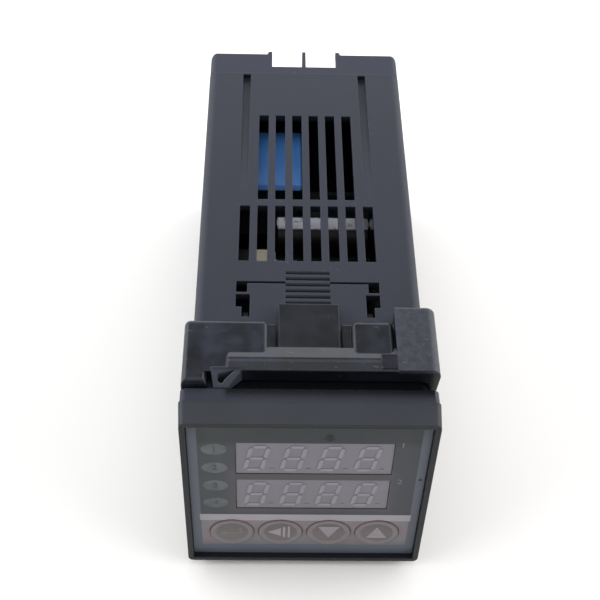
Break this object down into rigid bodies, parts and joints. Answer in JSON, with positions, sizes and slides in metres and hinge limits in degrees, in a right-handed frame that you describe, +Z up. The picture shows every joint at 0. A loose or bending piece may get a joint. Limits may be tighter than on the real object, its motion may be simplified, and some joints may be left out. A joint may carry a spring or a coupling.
{
  "type": "pid temperature controller",
  "caption": "Panel-mounted square temperature controller with two digital displays, round push keys, a slotted case, rear screw terminals and a ratchet mounting collar that slides on the case.",
  "frame": {"origin": "centre of the panel plane, the rear face of the flange that rests on the panel's front", "axes": "+Y goes rearwards through the panel along the case, +X is to the right seen from the front, +Z is up"},
  "size_m": [0.0486, 0.1115, 0.0516],
  "materials": {
    "case_plastic": "fine moulded texture, dark grey-black",
    "base_plastic": "fine moulded texture, black",
    "collar_plastic": "satin black, slightly blue",
    "bezel_plastic": "satin black",
    "overlay_film": "printed film, dark grey",
    "display_face": "grey display face",
    "display_segment": "pale unlit segment",
    "lamp_lens": "frosted grey lens",
    "lamp_chip": "small lamp",
    "key_plastic": "satin grey-brown",
    "switch_plastic": "black switch",
    "plunger_plastic": "black plunger",
    "board_laminate": "green solder mask",
    "header_plastic": "black pin strip",
    "relay_blue": "blue moulded case",
    "capacitor_sleeve": "dark shrink sleeve",
    "ferrite": "dark sintered ferrite",
    "winding_tape": "amber tape",
    "plug_cream": "cream nylon",
    "chip_black": "black chip",
    "contact_brass": "tinned brass",
    "screw_steel": "zinc-plated steel"
  },
  "bodies": {
    "housing": {"case_shell": "case_plastic", "rear_terminal_base": "base_plastic", "terminal_screws": "screw_steel", "terminal_washers": "screw_steel", "terminal_contact_1": "contact_brass", "terminal_contact_2": "contact_brass", "terminal_contact_3": "contact_brass", "terminal_contact_4": "contact_brass", "terminal_contact_5": "contact_brass", "terminal_contact_6": "contact_brass", "terminal_contact_7": "contact_brass", "terminal_contact_8": "contact_brass", "terminal_contact_9": "contact_brass", "terminal_contact_10": "contact_brass", "front_bezel": "bezel_plastic", "fascia_overlay": "overlay_film", "pv_display": "display_face", "pv_segments": "display_segment", "sv_display": "display_face", "sv_segments": "display_segment", "indicator_lens_1": "lamp_lens", "indicator_lens_2": "lamp_lens", "indicator_lens_3": "lamp_lens", "indicator_lens_4": "lamp_lens", "indicator_led_1": "lamp_chip", "indicator_led_2": "lamp_chip", "indicator_led_3": "lamp_chip", "indicator_led_4": "lamp_chip", "switch_body_1": "switch_plastic", "switch_body_2": "switch_plastic", "switch_body_3": "switch_plastic", "switch_body_4": "switch_plastic", "display_board": "board_laminate", "left_board": "board_laminate", "right_board": "board_laminate", "left_header": "header_plastic", "right_header": "header_plastic", "relay": "relay_blue", "filter_capacitor": "capacitor_sleeve", "transformer_core": "ferrite", "transformer_winding": "winding_tape", "board_plug": "plug_cream", "control_chip": "chip_black"},
    "key_1": {"key_cap_1": "key_plastic", "switch_plunger_1": "plunger_plastic"},
    "key_2": {"key_cap_2": "key_plastic", "switch_plunger_2": "plunger_plastic"},
    "key_3": {"key_cap_3": "key_plastic", "switch_plunger_3": "plunger_plastic"},
    "key_4": {"key_cap_4": "key_plastic", "switch_plunger_4": "plunger_plastic"},
    "collar": {"mounting_collar": "collar_plastic"}
  },
  "joints": [
    {"name": "key_1_press", "type": "slide", "parent": "housing", "child": "key_1", "axis": [0, 1, 0], "range_m": [0, 0.0004], "stiffness_N_per_m": 3000},
    {"name": "key_2_press", "type": "slide", "parent": "housing", "child": "key_2", "axis": [0, 1, 0], "range_m": [0, 0.0004], "stiffness_N_per_m": 3000},
    {"name": "key_3_press", "type": "slide", "parent": "housing", "child": "key_3", "axis": [0, 1, 0], "range_m": [0, 0.0004], "stiffness_N_per_m": 3000},
    {"name": "key_4_press", "type": "slide", "parent": "housing", "child": "key_4", "axis": [0, 1, 0], "range_m": [0, 0.0004], "stiffness_N_per_m": 3000},
    {"name": "collar_slide", "type": "slide", "parent": "housing", "child": "collar", "axis": [0, 1, 0], "range_m": [0, 0.075]}
  ]
}
